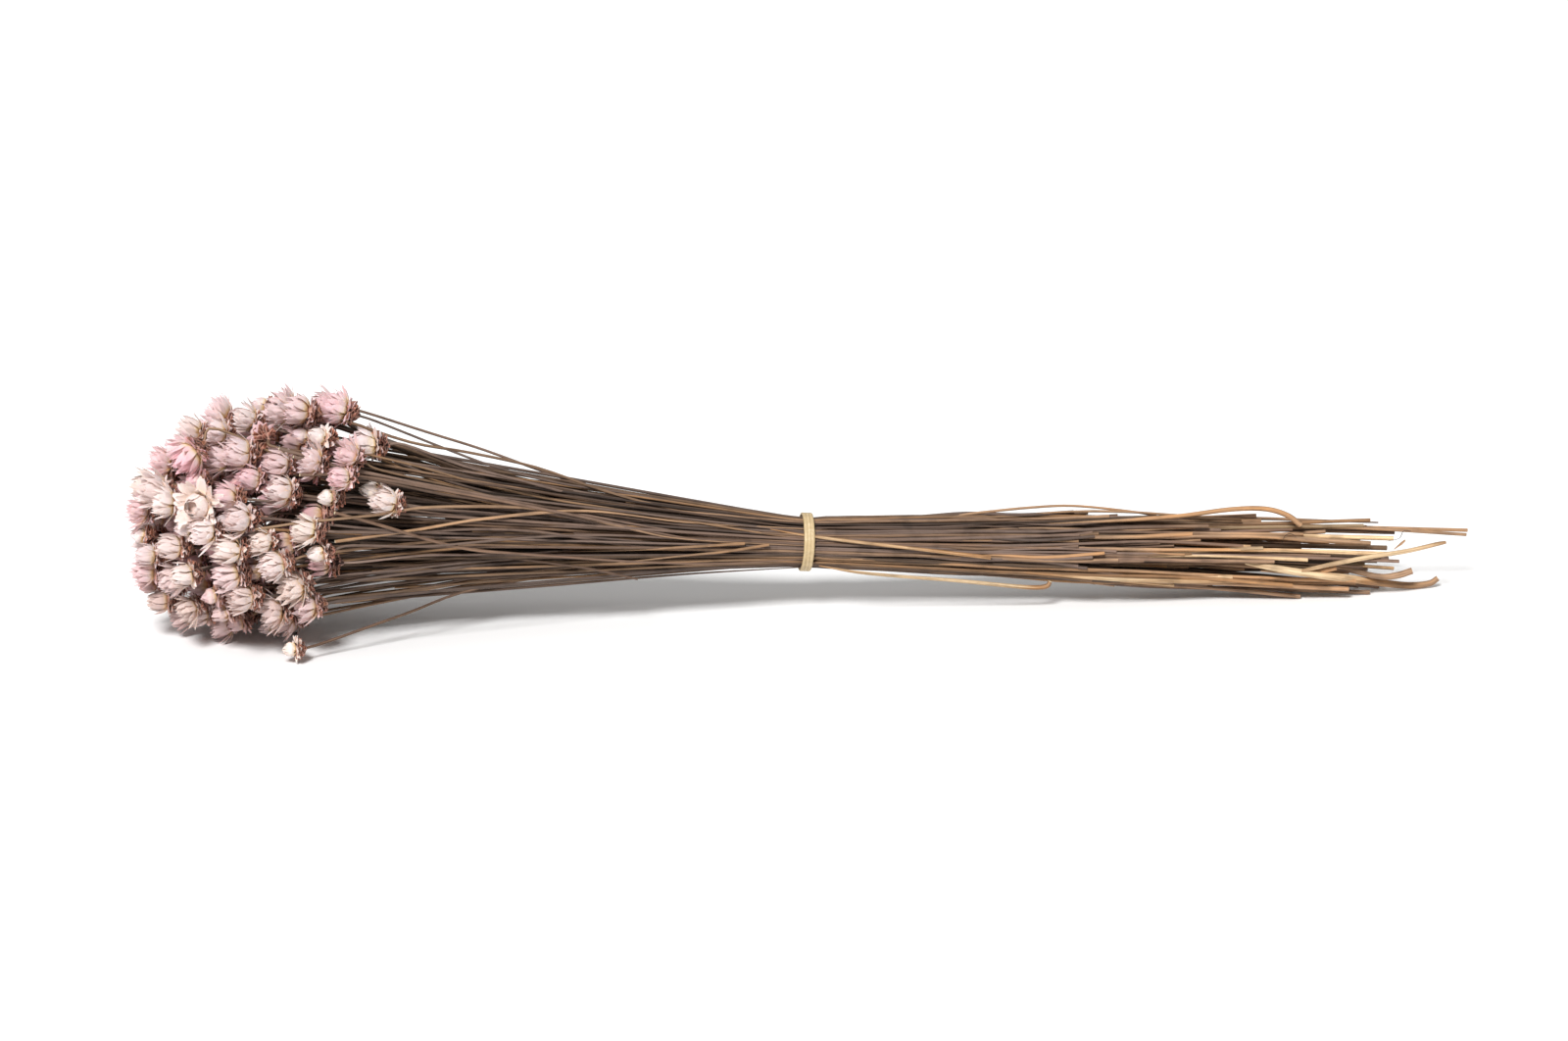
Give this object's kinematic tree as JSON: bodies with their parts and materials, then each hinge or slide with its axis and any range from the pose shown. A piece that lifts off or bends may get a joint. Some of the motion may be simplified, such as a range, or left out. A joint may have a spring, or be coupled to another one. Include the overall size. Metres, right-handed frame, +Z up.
{
  "type": "dried flower bunch",
  "caption": "Dried star flower bunch lying on its side: papery heads in a ball at one end, long stems pinched at the middle by a rubber band, loose cut ends at the other.",
  "frame": {"origin": "on the surface that the bunch lies on, under the middle of its bounding box", "axes": "+X along the bunch towards the cut ends, +Z up, and -Y towards the side with the dropped flower"},
  "size_m": [0.501, 0.093, 0.0928],
  "materials": {
    "stems": "dry, dull, fine lengthwise grain",
    "bracts": "papery, faint silky sheen",
    "band": "matt, slightly dusty"
  },
  "bodies": {
    "root": {"stems_1": "stems", "stems_2": "stems", "stems_3": "stems", "heads_01": "bracts", "heads_02": "bracts", "heads_03": "bracts", "heads_04": "bracts", "heads_05": "bracts", "heads_06": "bracts", "heads_07": "bracts", "heads_08": "bracts", "heads_09": "bracts", "heads_10": "bracts", "heads_11": "bracts", "heads_12": "bracts", "heads_13": "bracts", "heads_14": "bracts", "heads_15": "bracts", "heads_16": "bracts", "heads_17": "bracts", "heads_18": "bracts", "heads_19": "bracts", "heads_20": "bracts", "heads_21": "bracts", "heads_22": "bracts", "heads_23": "bracts", "heads_24": "bracts", "heads_25": "bracts", "heads_26": "bracts", "heads_27": "bracts", "heads_28": "bracts", "heads_29": "bracts", "heads_30": "bracts", "heads_31": "bracts", "heads_32": "bracts", "heads_33": "bracts", "heads_34": "bracts", "heads_35": "bracts", "heads_36": "bracts", "heads_37": "bracts", "heads_38": "bracts", "heads_39": "bracts", "heads_40": "bracts", "heads_41": "bracts", "heads_42": "bracts", "heads_43": "bracts", "heads_44": "bracts", "heads_45": "bracts", "heads_46": "bracts", "heads_47": "bracts", "heads_48": "bracts", "heads_49": "bracts", "heads_50": "bracts", "heads_51": "bracts", "heads_52": "bracts", "heads_53": "bracts", "heads_54": "bracts", "heads_55": "bracts", "rubber_band": "band"}
  },
  "joints": []
}
